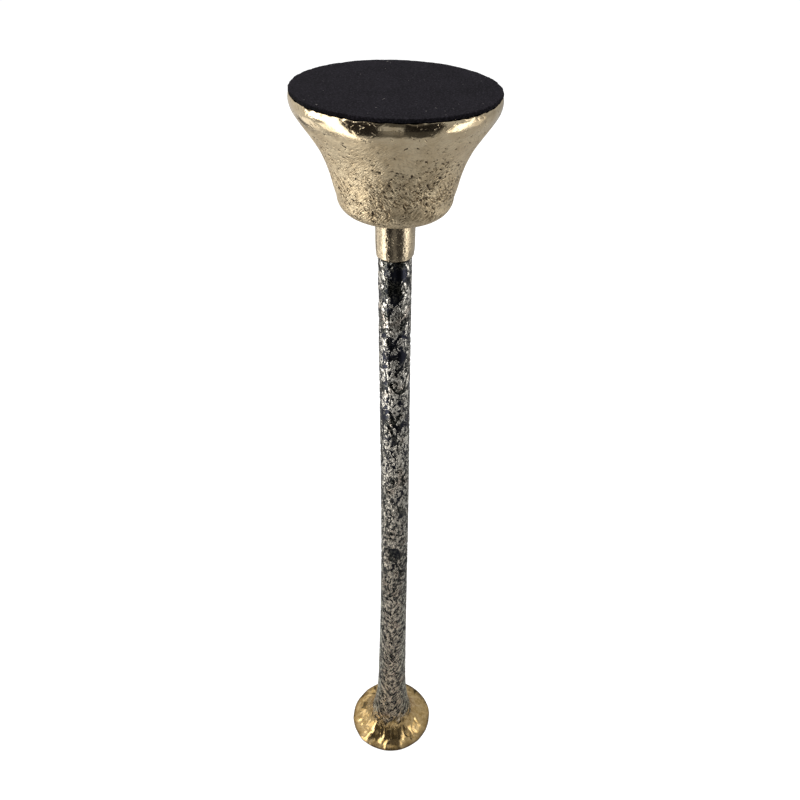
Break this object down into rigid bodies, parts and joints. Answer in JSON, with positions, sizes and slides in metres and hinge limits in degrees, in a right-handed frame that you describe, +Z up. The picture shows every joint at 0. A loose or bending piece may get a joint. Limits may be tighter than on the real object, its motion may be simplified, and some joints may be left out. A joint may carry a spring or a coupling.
{
  "type": "trumpet stand",
  "caption": "Tall bronze stand: a felt-faced bell-shaped head and a collar on a long textured stem that ends in a flared trumpet foot.",
  "frame": {"origin": "centre of the box's base, which is the plane that the flared foot's rim rests on", "axes": "+Z up along the stem, from the flared foot to the felt face; +X and +Y across, with no preferred side"},
  "size_m": [0.1004, 0.1004, 0.515],
  "materials": {
    "felt": "matte black wool felt",
    "head_bronze": "pale cast bronze, polished under the felt and pitted satin below",
    "collar_bronze": "polished pale bronze",
    "stem_patina": "reticulated, silver-grey over a dark patina, with a polished gold flare",
    "disc_brass": "plain rolled sheet",
    "steel": "zinc-plated steel"
  },
  "bodies": {
    "root": {"felt_pad": "felt", "backing_disc": "disc_brass", "backing_screw_1": "steel", "backing_screw_2": "steel", "backing_screw_3": "steel", "head_casting": "head_bronze", "collar": "collar_bronze", "stem": "stem_patina", "clamp_stud": "steel", "flat_washer": "steel", "spring_washer": "steel", "clamp_nut": "steel"}
  },
  "joints": []
}
